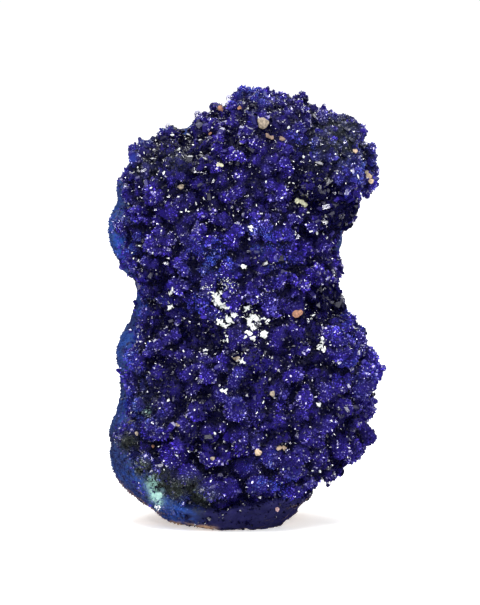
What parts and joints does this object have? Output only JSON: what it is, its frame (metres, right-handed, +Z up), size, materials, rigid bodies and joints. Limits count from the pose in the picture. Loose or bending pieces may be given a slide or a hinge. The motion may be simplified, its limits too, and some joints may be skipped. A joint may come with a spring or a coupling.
{
  "type": "azurite geode",
  "caption": "Upright azurite specimen: a smooth blue rind with a flat foot, its front, top and right side grown over with dark blue crystal rosettes.",
  "frame": {"origin": "on the flat foot, under the middle of the bounding box", "axes": "+Z up, the crystal face looks along -Y, +X to the right of a viewer who faces the crystals"},
  "size_m": [0.0456, 0.034, 0.074],
  "materials": {
    "rind": "smooth matt massive azurite",
    "crystals": "glassy dark blue crystals"
  },
  "bodies": {
    "root": {"rind": "rind", "crystal_crust": "crystals"}
  },
  "joints": []
}
